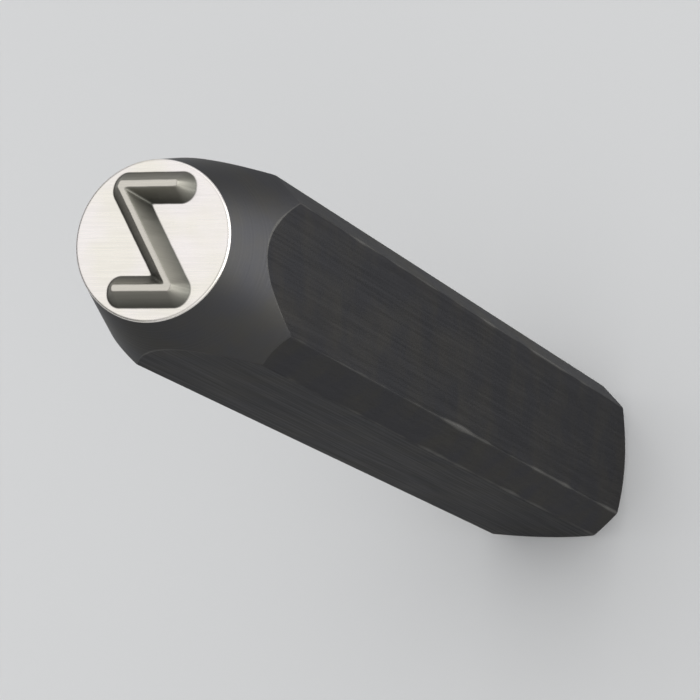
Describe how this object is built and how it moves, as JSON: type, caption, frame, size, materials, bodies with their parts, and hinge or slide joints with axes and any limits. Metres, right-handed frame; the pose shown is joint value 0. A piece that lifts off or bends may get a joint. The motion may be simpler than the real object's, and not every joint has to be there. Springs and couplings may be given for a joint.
{
  "type": "steel letter punch",
  "caption": "Solid steel letter punch: square shank with bevelled corners, tapered neck and a round face with a raised, mirrored letter; struck on its flat end.",
  "frame": {"origin": "centre of the striking end, on the punch's axis, where it stands on a surface", "axes": "+Z along the shank from the striking end towards the letter; +Y is the letter's upright; +X and +Y are square to the shank's flats"},
  "size_m": [0.01, 0.01, 0.07],
  "materials": {
    "tool_steel": "black oxide on the shank and neck, ground bright on the face and letter"
  },
  "bodies": {
    "root": {"letter_punch": "tool_steel"}
  },
  "joints": []
}
